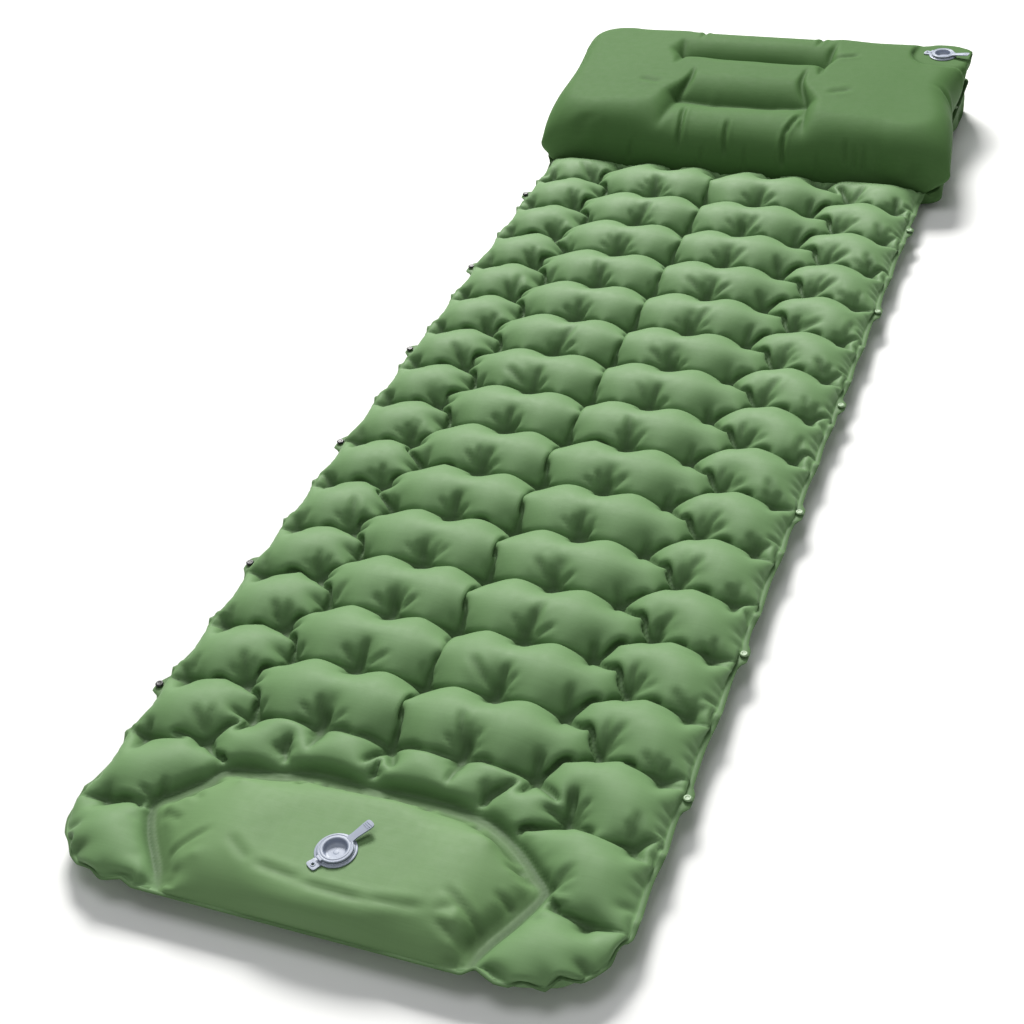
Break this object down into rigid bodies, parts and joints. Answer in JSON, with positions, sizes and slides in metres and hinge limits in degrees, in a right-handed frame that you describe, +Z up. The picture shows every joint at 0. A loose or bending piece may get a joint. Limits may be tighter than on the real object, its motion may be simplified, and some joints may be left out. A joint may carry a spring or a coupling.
{
  "type": "inflatable sleeping mat",
  "caption": "Inflatable sleeping mat with quilted air cells, a raised pillow with its own valve, a foot pump at the foot end and snap buttons along both side seams.",
  "frame": {"origin": "on the floor plane at the centre of the mat's footprint", "axes": "+Y from the foot pump towards the pillow, +X to the right seen from the foot end, +Z up from the floor"},
  "size_m": [0.678, 1.96, 0.1217],
  "materials": {
    "coated_nylon": "plain weave, thin film coating, soft sheen",
    "pump_nylon": "plain weave, thin film coating, soft sheen",
    "foam": "open cell, matte",
    "inner_film": "thin translucent film",
    "valve_plastic": "moulded, satin",
    "silicone": "soft, satin",
    "snap_black": "moulded, satin",
    "snap_green": "moulded, satin"
  },
  "bodies": {
    "mat": {"pad_top_sheet": "coated_nylon", "pad_bottom_sheet": "coated_nylon", "pillow_top_panel": "coated_nylon", "pillow_bottom_panel": "coated_nylon", "pump_foam": "foam", "pump_divider_wall": "inner_film", "check_valve_body": "valve_plastic", "pillow_valve_flange": "valve_plastic", "pillow_valve_neck": "valve_plastic", "snap_left_1_cap": "snap_black", "snap_left_1_socket": "snap_black", "snap_right_1_cap": "snap_green", "snap_right_1_stud": "snap_green", "snap_left_2_cap": "snap_black", "snap_left_2_socket": "snap_black", "snap_right_2_cap": "snap_green", "snap_right_2_stud": "snap_green", "snap_left_3_cap": "snap_black", "snap_left_3_socket": "snap_black", "snap_right_3_cap": "snap_green", "snap_right_3_stud": "snap_green", "snap_left_4_cap": "snap_black", "snap_left_4_socket": "snap_black", "snap_right_4_cap": "snap_green", "snap_right_4_stud": "snap_green", "snap_left_5_cap": "snap_black", "snap_left_5_socket": "snap_black", "snap_right_5_cap": "snap_green", "snap_right_5_stud": "snap_green", "snap_left_6_cap": "snap_black", "snap_left_6_socket": "snap_black", "snap_right_6_cap": "snap_green", "snap_right_6_stud": "snap_green", "snap_left_7_cap": "snap_black", "snap_left_7_socket": "snap_black", "snap_right_7_cap": "snap_green", "snap_right_7_stud": "snap_green"},
    "pump_top": {"pump_top_panel": "pump_nylon", "inlet_valve_flange": "valve_plastic", "inlet_valve_neck": "valve_plastic"},
    "inlet_cap": {"inlet_valve_cap": "valve_plastic", "inlet_valve_seal_ring": "silicone"},
    "inlet_flap": {"inlet_valve_flap": "silicone"},
    "check_flap": {"check_valve_flap": "silicone"},
    "pillow_cap": {"pillow_valve_cap": "valve_plastic", "pillow_valve_seal_ring": "silicone"},
    "pillow_flap": {"pillow_valve_flap": "silicone"}
  },
  "joints": [
    {"name": "pump_press", "type": "slide", "parent": "mat", "child": "pump_top", "axis": [0, 0, -1], "range_m": [0, 0.02], "stiffness_N_per_m": 2500, "deforming": ["pump_foam"]},
    {"name": "inlet_cap_hinge", "type": "hinge", "parent": "pump_top", "child": "inlet_cap", "pos_m": [0.00614, -0.91038, 0.0614], "axis": [0.848, -0.5299, 0], "range_deg": [0, 140]},
    {"name": "inlet_flap_hinge", "type": "hinge", "parent": "pump_top", "child": "inlet_flap", "pos_m": [0.01032, -0.90368, 0.0491], "axis": [-0.848, 0.5299, 0], "range_deg": [0, 25]},
    {"name": "check_flap_hinge", "type": "hinge", "parent": "mat", "child": "check_flap", "pos_m": [0.017, -0.828, 0.0267], "axis": [1, 0, 0], "range_deg": [0, 35]},
    {"name": "pillow_cap_hinge", "type": "hinge", "parent": "mat", "child": "pillow_cap", "pos_m": [0.26761, 0.92814, 0.1154], "axis": [-0.1045, -0.9945, 0], "range_deg": [0, 140]},
    {"name": "pillow_flap_hinge", "type": "hinge", "parent": "mat", "child": "pillow_flap", "pos_m": [0.27547, 0.92732, 0.1031], "axis": [0.1045, 0.9945, 0], "range_deg": [0, 25]}
  ]
}
